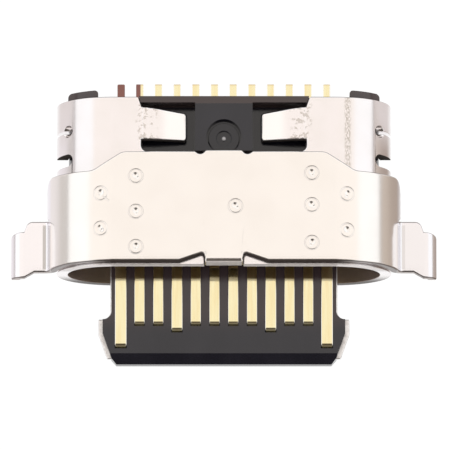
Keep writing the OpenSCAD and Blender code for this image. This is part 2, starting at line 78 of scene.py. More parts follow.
# Table and light tent
# The port lies on a white table inside a light tent of cream and white cloth, open at the front for the
# lens. The lens sees plain white: the opening and the table's tones show only as reflections in the part.
class Wire:
    """A value in a shader. Sums and products of wires add Math nodes."""

    def __init__(self, shader, socket):
        self.shader = shader
        self.socket = socket

    def math(self, operation, *values):
        return self.shader.node("Math", dict(enumerate(values)), operation=operation)

    def __add__(self, other):
        return self.math("ADD", self, other)

    def __sub__(self, other):
        return self.math("SUBTRACT", self, other)

    def __rsub__(self, other):
        return self.math("SUBTRACT", other, self)

    def __mul__(self, other):
        return self.math("MULTIPLY", self, other)

    def absolute(self):
        return self.math("ABSOLUTE", self)

    def sign(self):
        return self.math("SIGN", self)

    def larger(self, other):
        return self.math("MAXIMUM", self, other)

    def within(self, start, end):
        """0 at start and 1 at end, with a soft passage between."""
        return self.shader.node(
            "MapRange", {0: self, 1: start, 2: end}, interpolation_type="SMOOTHSTEP", clamp=True)

    __radd__ = __add__
    __rmul__ = __mul__


class Shader:
    """The node tree of a finish, the table or the tent."""

    def __init__(self, owner):
        self.owner = owner
        owner.use_nodes = True
        self.tree = owner.node_tree
        self.tree.nodes.clear()

    def node(self, kind, inputs=None, output=0, **settings):
        made = self.tree.nodes.new("ShaderNode" + kind)
        for name, value in settings.items():
            setattr(made, name, value)
        for place, value in (inputs or {}).items():
            if isinstance(value, Wire):
                self.tree.links.new(value.socket, made.inputs[place])
            else:
                made.inputs[place].default_value = value
        return Wire(self, made.outputs[output] if made.outputs else None)

    def axes(self, vector):
        """The three coordinates of a vector."""
        return [self.node("SeparateXYZ", {0: vector}, output=i) for i in range(3)]

    def blend(self, factor, first, second):
        """A colour between two others."""
        return self.node(
            "Mix", {"Factor": factor, 6: first, 7: second}, output=2, data_type="RGBA", clamp_factor=True)

    def noise(self, place, scale, detail=2.0, rough=0.5):
        inputs = {"Vector": place, "Scale": scale, "Detail": detail, "Roughness": rough}
        return self.node("TexNoise", inputs)

    def stretched(self, place, scale):
        """Coordinates that are stretched or squeezed along each axis."""
        return self.node("VectorMath", {0: place, 1: scale}, operation="MULTIPLY")


white = (1, 1, 1, 1)
tent_cream = (1.045, 0.985, 0.93, 1)
tent_white = (1.10, 1.10, 1.10, 1)
tent_grey = (0.36, 0.33, 0.325, 1)
tent_dark = (0.085, 0.070, 0.060, 1)
tent_low = (0.24, 0.22, 0.21, 1)
cream_up = (0.65, 0.74)
grey_up = (0.00, 0.10)
opening_forward = (0.16, 0.42)
opening_side = (0.42, 0.62)
opening_up = (0.30, 0.60)
lens_edge = (cos(radians(14)), cos(radians(9)))
table_size = 0.6
table_colour = (0.93, 0.93, 0.93, 1)
table_left = (0.84, 0.80, 0.82, 1)
table_left_far = (0.576, 0.544, 0.53, 1)
table_right = (0.36, 0.285, 0.243, 1)
table_right_far = (0.49, 0.41, 0.35, 1)
table_rear = (0.75, 0.70, 0.69, 1)
table_front = (0.60, 0.56, 0.54, 1)
right_x = (-0.003, 0.003)
beside_x = (0.0045, 0.0065)
further_x = (0.006, 0.016)
far_r = (0.006, 0.016)
behind_y = (0.0032, 0.0042)
behind_slope = 0.2
behind_share = 0.85
front_y = (0.003, 0.006)
glow_strength = 1.06
seen_share = 0.92
reflected_share = 0.9

tent = Shader(bpy.data.worlds.new("light_tent"))
bpy.context.scene.world = tent.owner
tent_place = tent.node("TexCoord", output="Generated")
side_x, side_y, up = tent.axes(tent_place)
cloth = tent.blend(up.within(*cream_up), tent_white, tent_cream)
cloth = tent.blend(up.within(*grey_up), tent_grey, cloth)
forward = (0 - side_y).within(*opening_forward) * (1 - side_x.absolute().within(*opening_side))
towards_lens = tent.node(
    "VectorMath", {0: tent_place, 1: camera_back}, output="Value", operation="DOT_PRODUCT")
opened = forward.larger(towards_lens.within(*lens_edge))
opening = tent.blend(up.within(*opening_up), tent_low, tent_dark)
reflected = tent.node("LightPath", output="Is Glossy Ray")
cloth = tent.blend(opened * reflected, cloth, opening)
seen = tent.node("LightPath", output="Is Camera Ray")
cloth = tent.blend(seen, cloth, white)
tent_light = tent.node("Background", {"Color": cloth, "Strength": 1.0})
tent.node("OutputWorld", {"Surface": tent_light})

underside = cad_box[0].z
bpy.ops.object.select_all(action="DESELECT")
bpy.ops.mesh.primitive_plane_add(size=table_size, location=(0, 0, underside))
table = bpy.context.object
table.name = "table"
table_top = Shader(bpy.data.materials.new("white_table"))
table.data.materials.append(table_top.owner)
table_place = table_top.node("TexCoord", output="Object")
table_x, table_y, _ = table_top.axes(table_place)
off_centre = table_x.absolute()
far_away = table_top.node("VectorMath", {0: table_place}, output="Value", operation="LENGTH")
seen = table_top.node("LightPath", output="Is Camera Ray")
reflected = table_top.node("LightPath", output="Is Glossy Ray")
through = table_top.node("LightPath", output="Is Transmission Ray")
# Painted shade on the table, seen only in reflections: away from the part it darkens, brownest to the
# right, greyer in front and behind.
right = table_x.within(*right_x)
further = off_centre.within(*further_x)
left_tone = table_top.blend(further, table_left, table_left_far)
right_tone = table_top.blend(further, table_right, table_right_far)
side_tone = table_top.blend(right, left_tone, right_tone)
behind = (table_y - behind_slope * (off_centre - beside_x[0])).within(*behind_y)
side_tone = table_top.blend((1 - (1 - behind_share) * right) * behind, side_tone, table_rear)
beside = off_centre.within(*beside_x).larger(far_away.within(*far_r))
tone = table_top.blend(beside, white, side_tone)
tone = table_top.blend((0 - table_y).within(*front_y), tone, table_front)
tone = table_top.blend(reflected, white, tone)
glow = table_top.node("Emission", {"Color": tone, "Strength": glow_strength})
paint = table_top.node("BsdfDiffuse", {"Color": table_colour})
share = (seen * seen_share).larger(reflected.larger(through) * reflected_share)
mixed = table_top.node("MixShader", {0: share, 1: paint, 2: glow})
table_top.node("OutputMaterial", {"Surface": mixed})


# Middle plate
# The stiffening plate in the tongue, stamped from stainless sheet. Its sheared edges stand out of the
# moulding at the sides, where the plug's latches grip. The two wafers are moulded to its faces.
mm = 0.001
merge_gap = 0.0005
flat_angle = radians(0.5)
smooth_angle = radians(35)


def only(piece):
    """Selects one piece and nothing else."""
    bpy.ops.object.select_all(action="DESELECT")
    bpy.context.view_layer.objects.active = piece
    piece.select_set(True)


def apply_modifier(piece, kind, **settings):
    only(piece)
    bpy.ops.object.modifier_add(type=kind)
    modifier = piece.modifiers[-1]
    for name, value in settings.items():
        setattr(modifier, name, value)
    bpy.ops.object.modifier_apply(modifier=modifier.name)


def solid_copy(node, name):
    """A millimetre-sized copy of a CAD solid, its loose triangles merged to whole faces."""
    only(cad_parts[node])
    bpy.ops.object.duplicate()
    piece = bpy.context.object
    piece.name = name
    piece.parent = None
    piece.data.materials.clear()
    piece.scale = (1 / mm, 1 / mm, 1 / mm)
    bpy.ops.object.transform_apply()
    bpy.ops.object.mode_set(mode="EDIT")
    bpy.ops.mesh.select_all(action="SELECT")
    bpy.ops.mesh.remove_doubles(threshold=merge_gap)
    bpy.ops.mesh.dissolve_limited(angle_limit=flat_angle)
    bpy.ops.object.mode_set(mode="OBJECT")
    return piece


def round_edges(piece, width, steps=2, angle=30):
    """Rounds all sharp edges, as far as the shortest edges let it."""
    apply_modifier(
        piece, "BEVEL", width=width, segments=steps, limit_method="ANGLE", angle_limit=radians(angle))


def hand_over(piece, finish, slot, *nodes):
    """Shades a finished piece, brings it to metres and puts it in the place of its CAD nodes."""
    only(piece)
    bpy.ops.object.shade_smooth_by_angle(angle=smooth_angle)
    apply_modifier(piece, "WEIGHTED_NORMAL", mode="FACE_AREA", weight=50, thresh=0.0002, keep_sharp=True)
    piece.scale = (mm, mm, mm)
    bpy.ops.object.transform_apply()
    piece.data.materials.clear()
    piece.data.materials.append(finish)
    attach(piece, "root")
    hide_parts(*nodes)


def finish_of(colour, roughness, metallic, bump, depth, painted_matt=None, painted_matt_colour=None, **constants):
    """A finish whose colour and roughness vary, and which may be matt in places, in another colour, where
    light or shade is painted.
    """
    shader = colour.shader
    inputs = {"Base Color": colour, "Roughness": roughness, "Metallic": metallic, **constants}
    inputs["Normal"] = shader.node("Bump", {"Height": bump, "Strength": 1.0, "Distance": depth})
    surface = shader.node("BsdfPrincipled", inputs)
    if painted_matt is not None:
        matt = shader.node(
            "BsdfPrincipled", {"Base Color": painted_matt_colour, "Roughness": 1.0, "Specular IOR Level": 0.0})
        surface = shader.node("MixShader", {0: painted_matt, 1: surface, 2: matt})
    shader.node("OutputMaterial", {"Surface": surface})
    return shader.owner


def start_finish(name):
    """A new finish and its coordinates in millimetres."""
    shader = Shader(bpy.data.materials.new(name))
    place = shader.stretched(shader.node("TexCoord", output="Object"), (1 / mm, 1 / mm, 1 / mm))
    return shader, place


plate_light = (0.95, 0.94, 0.94, 1)
plate_dark = (0.80, 0.78, 0.77, 1)
shear_scale = (9, 9, 2)
plate_edge_r = 0.03
plate, place = start_finish("sheared_steel")
shear = plate.noise(plate.stretched(place, shear_scale), 1.0, 3.0)
colour = plate.blend(shear.within(0.35, 0.7), plate_light, plate_dark)
plate_finish = finish_of(colour, roughness=0.24 + 0.2 * shear, metallic=1.0, bump=shear, depth=2e-6)
mid_plate = solid_copy("mid_plate", "tongue_plate")
round_edges(mid_plate, plate_edge_r, 3)
hand_over(mid_plate, plate_finish, "plate_steel", "mid_plate")


# Wafers
# The upper and lower halves of the tongue with their roots, moulded in black glass-filled plastic
# round the contacts. The skin has a fine grain and faint flow marks, and looks browner in the mouth.
moulding_black = (0.0060, 0.0060, 0.0115, 1)
moulding_grey = (0.0095, 0.0092, 0.0155, 1)
tongue_brown = (0.034, 0.023, 0.026, 1)
brown_y = (-1.7, -1.0)
flow_scale = (1.2, 0.5, 1.2)
grain_scale = 38.0
grain_depth = 0.8e-6
moulding_ior = 1.61
wafer_edge_r = 0.015


def moulded(name):
    """The black plastic: its shader, place, colour, roughness and grain."""
    shader, place = start_finish(name)
    flow = shader.noise(shader.stretched(place, flow_scale), 1.6, 4.0)
    grain = shader.noise(place, grain_scale)
    colour = shader.blend(flow.within(0.35, 0.75), moulding_black, moulding_grey)
    return shader, place, colour, 0.10 + 0.08 * grain, grain


moulding, place, colour, roughness, grain = moulded("tongue_moulding")
_, y, _ = moulding.axes(place)
colour = moulding.blend(y.within(*brown_y), colour, tongue_brown)
moulding_finish = finish_of(
    colour, roughness, metallic=0.0, bump=grain, depth=grain_depth, IOR=moulding_ior)
for node, name in (("upper_wafer", "upper_tongue"), ("lower_wafer", "lower_tongue")):
    wafer = solid_copy(node, name)
    round_edges(wafer, wafer_edge_r)
    hand_over(wafer, moulding_finish, "black_moulding", node)


# Contacts
# Twelve stamped copper strips in each row, flashed with gold. They lie in slots of the wafers, and
# their tails come out behind the housing. The tails' ends show bare copper, and two tails are darker
# brown.
contact_count = 12
contact_edge_r = 0.045
gold_pale = (0.935, 0.875, 0.575, 1)
gold_deep = (0.91, 0.80, 0.47, 1)
gold_edge_highlight = (0.99, 0.965, 0.88, 1)
copper = (0.50, 0.30, 0.17, 1)
dark_tail_brown = (0.25, 0.125, 0.11, 1)
streak_scale = (9, 0.9, 9)
fleck_scale = 6.0
bare_end_y = (5.09, 5.15)
bare_share = 0.5
tail_y = (4.30, 4.35)
dark_tail_x = (2.22, 2.24)
gold, place = start_finish("gold_flash")
x, y, _ = gold.axes(place)
streak = gold.noise(gold.stretched(place, streak_scale), 1.0)
fleck = gold.noise(place, fleck_scale)
skin = gold.blend(streak.within(0.3, 0.8), gold_pale, gold_deep)
# Painted highlight: faces turned sideways, such as the side bevels, are paler.
side_on = gold.axes(gold.node("TexCoord", output="Normal"))[0].absolute()
skin = gold.blend(side_on.within(0.1, 0.4), skin, gold_edge_highlight)
skin = gold.blend(bare_share * y.within(*bare_end_y), skin, copper)
# The tails at the far left are drawn darker brown.
skin = gold.blend((0 - x).within(*dark_tail_x) * y.within(*tail_y), skin, dark_tail_brown)
gold_finish = finish_of(skin, roughness=0.05 + 0.06 * fleck, metallic=1.0, bump=streak, depth=0.5e-6)
for row in ("upper", "lower"):
    for i in range(1, contact_count + 1):
        contact = solid_copy(f"{row}_contact_{i}", f"{row}_strip_{i}")
        round_edges(contact, contact_edge_r, 3)
        hand_over(contact, gold_finish, "contact_gold", f"{row}_contact_{i}")


# Rear housing
# The black moulding that fills the rear of the tube and holds the wafers. The gate where the plastic
# was let in shows in its centre block as a round boss in a groove, with a small cone left in its hole.
gate = Vector((0, 3.48))
gate_r = 0.463
boss_r = 0.412
boss_shift = -0.05
gate_hole_r = 0.20
crown_z = 1.54
boss_drop = 0.07
gate_depth = 0.20
hole_depth = 0.05
cone_r = 0.15
cone_h = 0.045
cone_tip_r = 0.02
cone_edge_r = 0.012
boss_edge_r = 0.015
housing_edge_r = 0.035
sunk = 0.05
boss_grey = (0.005, 0.005, 0.009, 1)
gate_highlight = (0.42, 0.41, 0.42, 1)
bar_brown = (0.044, 0.030, 0.029, 1)
bar_y = (4.36, 4.39)
block_half = 0.785
block_line_grey = (0.034, 0.033, 0.037, 1)
block_line_width = (0.010, 0.026)
block_line_end_y = (4.25, 4.30)
gate_highlight_r = (0.02, 0.07)


def primitive(kind, **size):
    """A new primitive with its place, turn and size in its mesh."""
    bpy.ops.object.select_all(action="DESELECT")
    getattr(bpy.ops.mesh, f"primitive_{kind}_add")(**size)
    bpy.ops.object.transform_apply()
    return bpy.context.object


def block(low, high):
    low, high = Vector(low), Vector(high)
    return primitive("cube", size=1, location=(low + high) / 2, scale=high - low)


def rod(centre, radius, length, sides=64):
    """An upright rod."""
    return primitive("cylinder", vertices=sides, radius=radius, depth=length, location=centre)


def combine(piece, operation, *tools):
    """Cuts tools from a piece, joins them to it, or keeps what it shares with them."""
    for tool in tools:
        apply_modifier(piece, "BOOLEAN", operation=operation, object=tool, solver="EXACT")
        bpy.data.objects.remove(tool)


gate_floor = crown_z - gate_depth
boss_top = crown_z - boss_drop
hole_floor = boss_top - hole_depth
boss_at = gate + Vector((0, boss_shift))
housing = solid_copy("rear_housing", "rear_moulding")
round_edges(housing, housing_edge_r, 2, 40)
combine(housing, "DIFFERENCE", rod((*gate, crown_z), gate_r, 2 * gate_depth, 96))
boss_foot = gate_floor - sunk
boss = rod((*boss_at, (boss_foot + boss_top) / 2), boss_r, boss_top - boss_foot, 96)
combine(boss, "DIFFERENCE", rod((*boss_at, boss_top), gate_hole_r, 2 * hole_depth))
round_edges(boss, boss_edge_r, 3)
cone = primitive(
    "cone", vertices=48, radius1=cone_r, radius2=cone_tip_r, depth=cone_h + sunk,
    location=(*boss_at, hole_floor + (cone_h - sunk) / 2))
round_edges(cone, cone_edge_r, 3)
combine(boss, "UNION", cone)
combine(housing, "UNION", boss)

rear, place, colour, roughness, grain = moulded("gated_moulding")
x, y, _ = rear.axes(place)
from_gate = rear.node(
    "VectorMath", {0: rear.stretched(place, (1, 1, 0)), 1: (*boss_at, 0)}, output="Value",
    operation="DISTANCE")
# Lighter grey lines run along the centre block's sides, ending towards the rear.
block_line = (x.absolute() - block_half).absolute().within(*block_line_width)
colour = rear.blend((1 - block_line) * (1 - y.within(*block_line_end_y)), colour, block_line_grey)
colour = rear.blend(y.within(*bar_y), colour, bar_brown)
colour = rear.blend(1 - from_gate.within(boss_r - 0.01, boss_r), colour, boss_grey)
# Painted highlight: a pale spot on the cone in the gate's hole.
colour = rear.blend(1 - from_gate.within(*gate_highlight_r), colour, gate_highlight)
rear_finish = finish_of(
    colour, roughness, metallic=0.0, bump=grain, depth=grain_depth, IOR=moulding_ior)
hand_over(housing, rear_finish, "black_moulding", "rear_housing")


# Inner shell
# The tube that takes the plug, rolled from bright nickel-plated sheet. Its rear is opened by a window
# with two pressed lock tabs, and its sides are slotted into flaps that grip the rear housing.
shell_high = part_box("inner_shell")[1] / mm
shell_wall = 0.30
shell_len = shell_high.y
end_r = shell_high.z
end_x = shell_high.x - end_r
floor_len = 2.77
flap_z = 0.10
tube_sides = 192
window_half = 2.20
window_y = 3.07
window_flare = 0.09
tab_y = 3.40
tab_end_y = 4.29
tab_reach = 1.22
tab_taper = 0.14
tab_r = 0.12
side_slot = 0.33
side_slot_top = 1.08
relief_y = 3.72
relief_r = 0.16
slit_w = 0.08
notch_half = 0.52
notch_len = 0.29
dent_gap_x = 0.63
dent_gap_y = 3.10
dent_gap_r = 0.17
shell_edge_r = 0.045
fine_edge_r = 0.014
slot_foot = -0.2
beyond = 1.0


def pick(piece, kind, test):
    """Enters edit mode with the vertices, edges or faces selected whose corners all pass a test."""
    only(piece)
    bpy.ops.object.mode_set(mode="EDIT")
    bpy.ops.mesh.select_mode(type=kind)
    bpy.ops.mesh.select_all(action="DESELECT")
    cage = bmesh.from_edit_mesh(piece.data)
    for part in {"VERT": cage.verts, "EDGE": cage.edges, "FACE": cage.faces}[kind]:
        corners = [part.co] if kind == "VERT" else [v.co for v in part.verts]
        if all(test(corner) for corner in corners):
            part.select_set(True)
    bmesh.update_edit_mesh(piece.data)


def slice_at(piece, point, normal, clear=False):
    """Cuts a piece's faces along a plane, and may remove what lies behind the plane."""
    only(piece)
    bpy.ops.object.mode_set(mode="EDIT")
    bpy.ops.mesh.select_all(action="SELECT")
    bpy.ops.mesh.bisect(plane_co=point, plane_no=normal, clear_inner=clear)
    bpy.ops.object.mode_set(mode="OBJECT")


def rolled_tube(name, radius, wall, start, end):
    """An open tube of sheet with flat top and bottom and half-round sides."""
    tube = primitive(
        "cylinder", vertices=tube_sides, radius=radius, depth=end - start, end_fill_type="NOTHING",
        location=(0, (start + end) / 2, 0), rotation=(pi / 2, 0, 0))
    tube.name = name
    for side in (-1, 1):
        pick(tube, "VERT", lambda p: side * p.x > 0.001)
        bpy.ops.transform.translate(value=(side * end_x, 0, 0))
        bpy.ops.object.mode_set(mode="OBJECT")
    apply_modifier(tube, "SOLIDIFY", thickness=wall, offset=-1, use_even_offset=True)
    return tube


def near(a, b):
    return abs(a - b) < 0.002


def round_sheet(piece, width, other_width, is_other):
    """Rounds the edges of a sheet to one width, and those whose ends pass a test to another."""
    most = max(width, other_width)
    only(piece)
    bpy.ops.object.mode_set(mode="EDIT")
    bpy.ops.mesh.select_mode(type="EDGE")
    bpy.ops.mesh.select_all(action="SELECT")
    bpy.ops.mesh.normals_make_consistent(inside=False)
    bpy.ops.mesh.remove_doubles(threshold=most / 12)
    bpy.ops.mesh.select_all(action="DESELECT")
    bpy.ops.mesh.edges_select_sharp(sharpness=radians(40))
    bpy.ops.transform.edge_bevelweight(value=width / most)
    bpy.ops.object.mode_set(mode="OBJECT")
    pick(piece, "EDGE", is_other)
    bpy.ops.transform.edge_bevelweight(value=(other_width - width) / most)
    bpy.ops.object.mode_set(mode="OBJECT")
    apply_modifier(
        piece, "BEVEL", width=most, segments=3, limit_method="WEIGHT", use_clamp_overlap=False)


def prism(outline, axis, low, high):
    """A block with an outline in X and Y, X and Z or Y and Z, drawn on a flat disc and raised."""
    disc = primitive("circle", vertices=len(outline), radius=1, fill_type="NGON")
    for corner, (a, b) in zip(disc.data.vertices, outline):
        corner.co = {"X": (low, a, b), "Y": (a, low, b), "Z": (a, b, low)}[axis]
    height = high - low
    rise = {"X": (height, 0, 0), "Y": (0, height, 0), "Z": (0, 0, height)}[axis]
    pick(disc, "FACE", lambda p: True)
    bpy.ops.mesh.extrude_region_move(TRANSFORM_OT_translate={"value": rise})
    bpy.ops.mesh.select_all(action="SELECT")
    bpy.ops.mesh.normals_make_consistent(inside=False)
    bpy.ops.object.mode_set(mode="OBJECT")
    return disc


def arc(centre, radius, start, end, steps=12):
    """Points along an arc, with its angles in degrees."""
    angles = [radians(start + (end - start) * i / steps) for i in range(steps + 1)]
    return [(centre[0] + radius * cos(a), centre[1] + radius * sin(a)) for a in angles]


def mirrored(outline):
    """The right half of an outline and its mirror image."""
    return outline + [(-x, y) for x, y in reversed(outline)]


shell = rolled_tube("plug_tube", end_r, shell_wall, 0, shell_len)
wide, tall = 2 * shell_high.x, 2 * end_r
slot_r = (tab_y - window_y) / 2
flare_len = shell_len - tab_end_y
window = mirrored(
    arc((window_half - slot_r, window_y + slot_r), slot_r, -90, 0)
    + [(window_half, tab_end_y), (window_half + 2 * window_flare, tab_end_y + 2 * flare_len)])
half_slot = side_slot / 2
slot_outline = [
    (floor_len, slot_foot), (floor_len + side_slot, slot_foot),
    *arc((floor_len + half_slot, side_slot_top - half_slot), half_slot, 0, 180)]
relief_z = side_slot_top - relief_r
neck = degrees(asin(slit_w / 2 / relief_r))
relief_outline = [
    (relief_y - slit_w / 2, slot_foot), (relief_y + slit_w / 2, slot_foot),
    *arc((relief_y, relief_z), relief_r, neck - 90, 270 - neck, 28)]
combine(
    shell, "DIFFERENCE",
    block((-wide, floor_len, -tall), (wide, shell_len + beyond, flap_z)),
    prism(window, "Z", 0, tall),
    block((-notch_half, -beyond, 0), (notch_half, notch_len, tall)),
    prism(slot_outline, "X", end_x, wide),
    prism(relief_outline, "X", end_x, wide),
    rod((dent_gap_x, dent_gap_y, tall / 2), dent_gap_r, tall))
slice_at(shell, (0, 0, 0), (1, 0, 0), clear=True)
slice_at(shell, (0, tab_y, 0), (0, 1, 0))

# A lock tab is drawn out of the window's side wall in short steps, down two creases and a flat slope.
tab_steps = 16
tab_profile = [
    (0.0, 0.0), (0.0625, 0.045), (0.125, 0.022), (0.1875, 0.055), (0.25, 0.042), (0.375, 0.07),
    (1.0, 0.32)]


def tab_drop(t):
    """How far a lock tab lies below the tube's top, at a share of its reach."""
    for (t0, d0), (t1, d1) in zip(tab_profile, tab_profile[1:]):
        if t <= t1:
            return d0 + (d1 - d0) * (t - t0) / (t1 - t0)


def on_fine_edge(p):
    """The rim at the mouth, and the edges of the slots in the sides."""
    return p.y < 0.1 or p.y > 2 and abs(p.x) > end_x + 0.5


def on_tab_root(p):
    return near(p.x, window_half) and tab_y - 0.001 < p.y < tab_end_y + 0.001 and p.z > 1


pick(shell, "FACE", on_tab_root)
tab_len = tab_end_y - tab_y
for i in range(tab_steps):
    before, after = i / tab_steps, (i + 1) / tab_steps
    move = (-tab_reach / tab_steps, 0, tab_drop(before) - tab_drop(after))
    bpy.ops.mesh.extrude_region_move(TRANSFORM_OT_translate={"value": move})
    squeeze = (tab_len - tab_taper * after) / (tab_len - tab_taper * before)
    bpy.ops.transform.resize(value=(1, squeeze, 1), center_override=(0, tab_y, 0))
bpy.ops.object.mode_set(mode="OBJECT")
tab_tip = window_half - tab_reach
for corner_y in (tab_y, tab_end_y - tab_taper):
    pick(shell, "EDGE", lambda p: near(p.x, tab_tip) and near(p.y, corner_y))
    bpy.ops.mesh.bevel(offset=tab_r, segments=8)
    bpy.ops.object.mode_set(mode="OBJECT")
apply_modifier(shell, "MIRROR", use_axis=(True, False, False), use_clip=True, merge_threshold=0.001)
round_sheet(shell, shell_edge_r, fine_edge_r, on_fine_edge)

nickel_white = (0.93, 0.895, 0.90, 1)
nickel_grey = (0.90, 0.865, 0.86, 1)
inside_shade = (0.48, 0.38, 0.33, 1)
scuff_x = 3.30
scuff_half = (0.03, 0.12)
scuff_y = (2.5, 2.6)
scuff_share = 0.75
scuff_scale = (34, 13, 34)
scuff_grey = (0.50, 0.46, 0.41, 1)
tip_end_x = (1.45, 1.75)
crease_x = (1.70, 1.85)
crease_end_x = (2.25, 2.40)
crease_shade = (0.66, 0.62, 0.59, 1)
behind_rim_y = (0.4, 0.6)
slot_end_y = (3.4, 3.5)
rear_edge_y = (4.40, 4.45)
rim_y = (0.02, 0.05)
rim_z = (0.4, 0.9)
rim_share = 0.7
lower_rim_share = 0.85
rim_highlight = (0.95, 0.91, 0.90, 1)
cut_face_shade = (0.085, 0.075, 0.070, 1)


def off_sheet(shader, place):
    """How far a face turns from the rolled sheet's outside: 1 outside, 0 on a cut edge, -1 inside."""
    x, _, z = shader.axes(place)
    past = x.sign() * (x.absolute() - end_x).larger(0)
    out = shader.node("CombineXYZ", {0: past, 2: z})
    out = shader.node("VectorMath", {0: out}, operation="NORMALIZE")
    normal = shader.node("TexCoord", output="Normal")
    return shader.node("VectorMath", {0: out, 1: normal}, output="Value", operation="DOT_PRODUCT")


nickel, place = start_finish("bright_nickel")
x, y, z = nickel.axes(place)
from_centre = x.absolute()
cloud = nickel.noise(place, 1.3, 3.0)
pore = nickel.noise(place, 17.0, 3.0, 0.6)
crumple = nickel.noise(place, 7.0, 3.0, 0.6)
scratches = nickel.noise(nickel.stretched(place, scuff_scale), 1.0)
facing = off_sheet(nickel, place)
inside = (0 - facing).within(0.2, 0.7)
_, rearward, upward = nickel.axes(nickel.node("TexCoord", output="Normal"))
# Painted shade: cut faces under the rim, in the front slots and at the rear edge, and the rim's lower
# front, are matt and dark.
behind_rim = y.within(*behind_rim_y)
lower_rim = lower_rim_share * (0 - z).within(0.0, 1.1)
under_edge = (0 - upward).within(0.1, 0.5) * behind_rim
front_slot = behind_rim * (1 - y.within(*slot_end_y)) * (1 - upward.within(0.2, 0.6))
rear_edge = rearward.within(0.2, 0.6) * y.within(*rear_edge_y)
cut_zone = under_edge.larger(front_slot).larger(lower_rim).larger(rear_edge)
cut = (1 - facing.absolute().within(0.7, 0.95)) * cut_zone
skin = nickel.blend(cloud.within(0.35, 0.75), nickel_white, nickel_grey)
# Painted shade: faces turned into the tube are darker and browner.
skin = nickel.blend(inside, skin, inside_shade)
# Painted highlight: the lock tabs' sloping flats are white.
on_tab = y.within(tab_y - 0.1, tab_y) * (1 - y.within(tab_end_y, tab_end_y + 0.15))
skin = nickel.blend(on_tab * (1 - from_centre.within(*tip_end_x)), skin, white)
# Painted shade: grey blotches in the tabs' creases.
creased = on_tab * from_centre.within(*crease_x) * (1 - from_centre.within(*crease_end_x))
skin = nickel.blend(creased * crumple.within(0.50, 0.62), skin, crease_shade)
scuffed = (1 - (x - scuff_x).absolute().within(*scuff_half)) * y.within(*scuff_y)
skin = nickel.blend(scuff_share * scuffed * scratches.within(0.36, 0.62), skin, scuff_grey)
# Painted highlight: the rim's upper front face is matt and nearly white.
rim_face = (0 - rearward).within(0.8, 0.95) * (1 - y.within(*rim_y)) * z.within(*rim_z) * rim_share
shell_finish = finish_of(
    skin, roughness=0.14 + 0.06 * cloud + 0.28 * inside, metallic=1.0, bump=pore, depth=0.8e-6,
    painted_matt=cut.larger(rim_face), painted_matt_colour=nickel.blend(rim_face, cut_face_shade, rim_highlight))
hand_over(shell, shell_finish, "shell_steel", "inner_shell")


# Mounting bracket
# A stamped sheet of satin nickel-plated steel, wrapped over the tube and spot-welded to it. Its ears
# fold out to the board and down into solder legs, and a centre tab hooks over the tube's rim.
bracket_t = 0.25
wrap_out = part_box("mounting_bracket")[1].z / mm
bracket_front = 0.02
bracket_len = 3.02
lip_half = 0.48
lip_len = 0.03
dent_r = 0.15
dent_depth = 0.07
shoulder_len = 2.52
shoulder_start = 2.58
shoulder_end = 3.62
shoulder_r = 0.42
hook_half = 0.50
hook_back = bracket_front + bracket_t
hook_r = 0.11
notch_out = 1.18
notch_depth = 0.24
notch_r = 0.10
skirt_z = 0.12
skirt_r = 0.58
board_z = 0.08
ear_top = board_z + bracket_t
ear_rear = 1.39
ear_gap = 0.06
ear_bend_r = 0.12
leg_bend_r = 0.10
leg_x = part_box("mounting_bracket")[1].x / mm
leg_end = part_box("mounting_bracket")[0].z / mm
leg_rear = 1.01
leg_lean = 0.11
leg_taper = 0.10
leg_corner = 0.12
ear_flare = 0.15
front_setback = 0.04
draw_steps = 12
draw_height = 0.08
slice_count = 11
slice_step = 0.25
bracket_edge_r = 0.045
front_edge_r = 0.05

notch_centre = Vector((hook_half + notch_r, bracket_front + notch_depth - notch_r))
to_notch = notch_centre - Vector((notch_out, bracket_front))
notch_turn = degrees(atan2(to_notch.y, to_notch.x) - asin(notch_r / to_notch.length))
shoulder = Vector((shoulder_end - shoulder_start, bracket_len - shoulder_len - 2 * shoulder_r))
shoulder_turn = degrees(atan2(shoulder.y, shoulder.x) + asin(2 * shoulder_r / shoulder.length))
dent_centre = Vector((lip_half + dent_r, bracket_len + dent_r - dent_depth))
dent_turn = degrees(acos((dent_r - dent_depth) / dent_r))
dent_end = degrees(asin((dent_r - dent_depth - lip_len) / dent_r)) - 180
far_x = end_x + wrap_out + beyond
half_outline = [
    *arc(notch_centre, notch_r, 180, notch_turn - 90, 10),
    (notch_out, bracket_front), (far_x, bracket_front), (far_x, shoulder_len),
    *arc((shoulder_end, shoulder_len + shoulder_r), shoulder_r, -90, -90 - shoulder_turn),
    *arc((shoulder_start, bracket_len - shoulder_r), shoulder_r, 90 - shoulder_turn, 90)[1:],
    *arc(dent_centre, dent_r, dent_turn - 90, dent_end)]

bracket = rolled_tube("welded_bracket", wrap_out, bracket_t, bracket_front - beyond, bracket_len + beyond)
combine(bracket, "INTERSECT", prism(mirrored(half_outline), "Z", -tall, tall))
ear_angle = asin((ear_top + ear_bend_r) / (wrap_out + ear_bend_r))
skirt_angle = asin(skirt_z / wrap_out)
reach = 2 * wide


def below(angle, start, end):
    """Everything under a line that leaves the middle of the tube's side at an angle."""
    outline = mirrored([
        (end_x, 0), (end_x + reach * cos(angle), reach * sin(angle)), (end_x + reach, -reach)])
    return prism(outline, "Y", start, end)


skirt_y = shoulder_len - skirt_r
skirt_corner = [
    (shoulder_len + beyond, skirt_z - beyond), (shoulder_len + beyond, skirt_z + skirt_r),
    *arc((skirt_y, skirt_z + skirt_r), skirt_r, 0, -90, 24), (skirt_y, skirt_z - beyond)]
combine(
    bracket, "DIFFERENCE", below(ear_angle, -beyond, ear_rear + ear_gap),
    below(skirt_angle, ear_rear, bracket_len + beyond), prism(skirt_corner, "X", -reach, reach))
slice_at(bracket, (0, 0, 0), (1, 0, 0), clear=True)
slice_at(bracket, (0, ear_rear, 0), (0, 1, 0))

